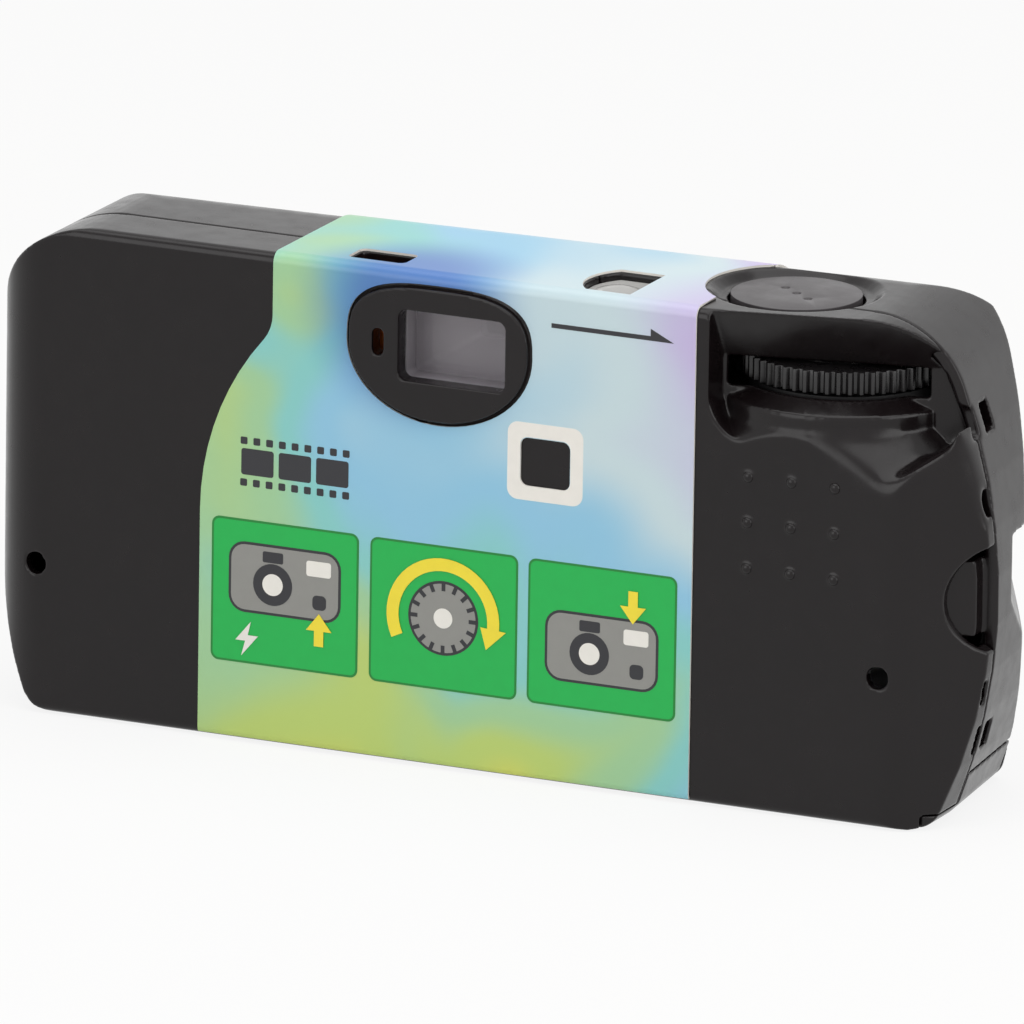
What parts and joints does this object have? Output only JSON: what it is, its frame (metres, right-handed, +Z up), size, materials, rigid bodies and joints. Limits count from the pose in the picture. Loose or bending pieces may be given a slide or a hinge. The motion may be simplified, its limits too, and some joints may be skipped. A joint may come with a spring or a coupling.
{
  "type": "disposable film camera",
  "caption": "Disposable 35 mm film camera with a wrap label, thumb winding wheel, viewfinder, flash with a sliding switch, and a hinged film door.",
  "frame": {"origin": "floor under the middle of the camera's overall box", "axes": "+Z up, +Y from the rear face to the lens, +X to the right seen from behind, towards the winding wheel"},
  "size_m": [0.115, 0.034, 0.0543],
  "materials": {
    "black_plastic": "fine moulded texture",
    "inner_plastic": "plain moulded",
    "grey_plastic": "plain moulded",
    "pale_plastic": "plain moulded",
    "clear_plastic": "clear",
    "amber_plastic": "clear amber",
    "label": "printed and varnished",
    "steel": "bright",
    "aluminium": "bright",
    "brass": "bright",
    "board": "lacquered",
    "film_base": "smooth",
    "glass": "clear",
    "cell": "printed sleeve"
  },
  "bodies": {
    "camera": {"rear_cover": "black_plastic", "front_cover": "black_plastic", "wrap_label": "label", "chassis": "inner_plastic", "viewfinder_frame": "inner_plastic", "eyepiece_lens": "clear_plastic", "objective_lens": "clear_plastic", "counter_window": "clear_plastic", "anti_reverse_pawl": "steel", "cartridge_shell": "steel", "cartridge_caps": "inner_plastic", "film": "film_base", "drive_spring": "steel", "blade_spring": "steel", "aperture_plate": "inner_plastic", "lens_holder": "inner_plastic", "taking_lens": "clear_plastic", "flash_window": "clear_plastic", "flash_reflector": "aluminium", "flash_tube": "glass", "flash_board": "board", "board_parts": "inner_plastic", "flash_transformer": "grey_plastic", "trigger_coil": "brass", "flash_capacitor": "inner_plastic", "neon_lamp": "glass", "sync_contacts": "brass", "battery": "cell", "battery_contacts": "brass"},
    "door": {"film_door": "black_plastic"},
    "winder": {"thumbwheel": "inner_plastic", "cartridge_spool": "inner_plastic"},
    "film_sprocket": {"sprocket": "inner_plastic", "shutter_cam": "grey_plastic"},
    "counter": {"counter_dial": "pale_plastic"},
    "button": {"shutter_button": "grey_plastic"},
    "release": {"release_lever": "inner_plastic"},
    "driver": {"drive_lever": "steel"},
    "blade": {"shutter_blade": "steel"},
    "flash_slider": {"flash_switch": "grey_plastic", "switch_link": "inner_plastic", "ready_light_guide": "amber_plastic"}
  },
  "joints": [
    {"name": "film_door_hinge", "type": "hinge", "parent": "camera", "child": "door", "pos_m": [0.023, 0, 0.0007], "axis": [0, 1, 0], "range_deg": [0, 95]},
    {"name": "winding_wheel", "type": "hinge", "parent": "camera", "child": "winder", "pos_m": [0.03675, -0.0022, 0.0468], "axis": [0, 0, 1], "continuous": true},
    {"name": "sprocket_turn", "type": "hinge", "parent": "camera", "child": "film_sprocket", "pos_m": [0.0165, -0.0087, 0.038], "axis": [0, 0, 1], "continuous": true},
    {"name": "counter_turn", "type": "hinge", "parent": "camera", "child": "counter", "pos_m": [0.0175, -0.0034, 0.049], "axis": [0, 0, 1], "continuous": true},
    {"name": "button_press", "type": "slide", "parent": "camera", "child": "button", "axis": [0, 0, -1], "range_m": [0, 0.0012], "stiffness_N_per_m": 800},
    {"name": "release_swing", "type": "hinge", "parent": "camera", "child": "release", "pos_m": [0.03, 0.0055, 0.0496], "axis": [1, 0, 0], "range_deg": [0, 7.5]},
    {"name": "drive_swing", "type": "hinge", "parent": "camera", "child": "driver", "pos_m": [0.009, 0.0015, 0.0422], "axis": [0, 0, -1], "range_deg": [0, 20], "stiffness_Nm_per_rad": 0.002},
    {"name": "blade_swing", "type": "hinge", "parent": "camera", "child": "blade", "pos_m": [0.0075, 0.0069, 0.03095], "axis": [0, 1, 0], "range_deg": [0, 30], "deforming": ["blade_spring"]},
    {"name": "flash_switch_slide", "type": "slide", "parent": "camera", "child": "flash_slider", "axis": [0, 0, 1], "range_m": [0, 0.0035]}
  ],
  "couplings": [
    {"joint": "sprocket_turn", "follows": "winding_wheel", "ratio": 1.25},
    {"joint": "counter_turn", "follows": "winding_wheel", "ratio": -0.0347},
    {"joint": "release_swing", "follows": "button_press", "rad_per_m": 108.7},
    {"joint": "blade_swing", "follows": "drive_swing", "ratio": 1.5}
  ]
}
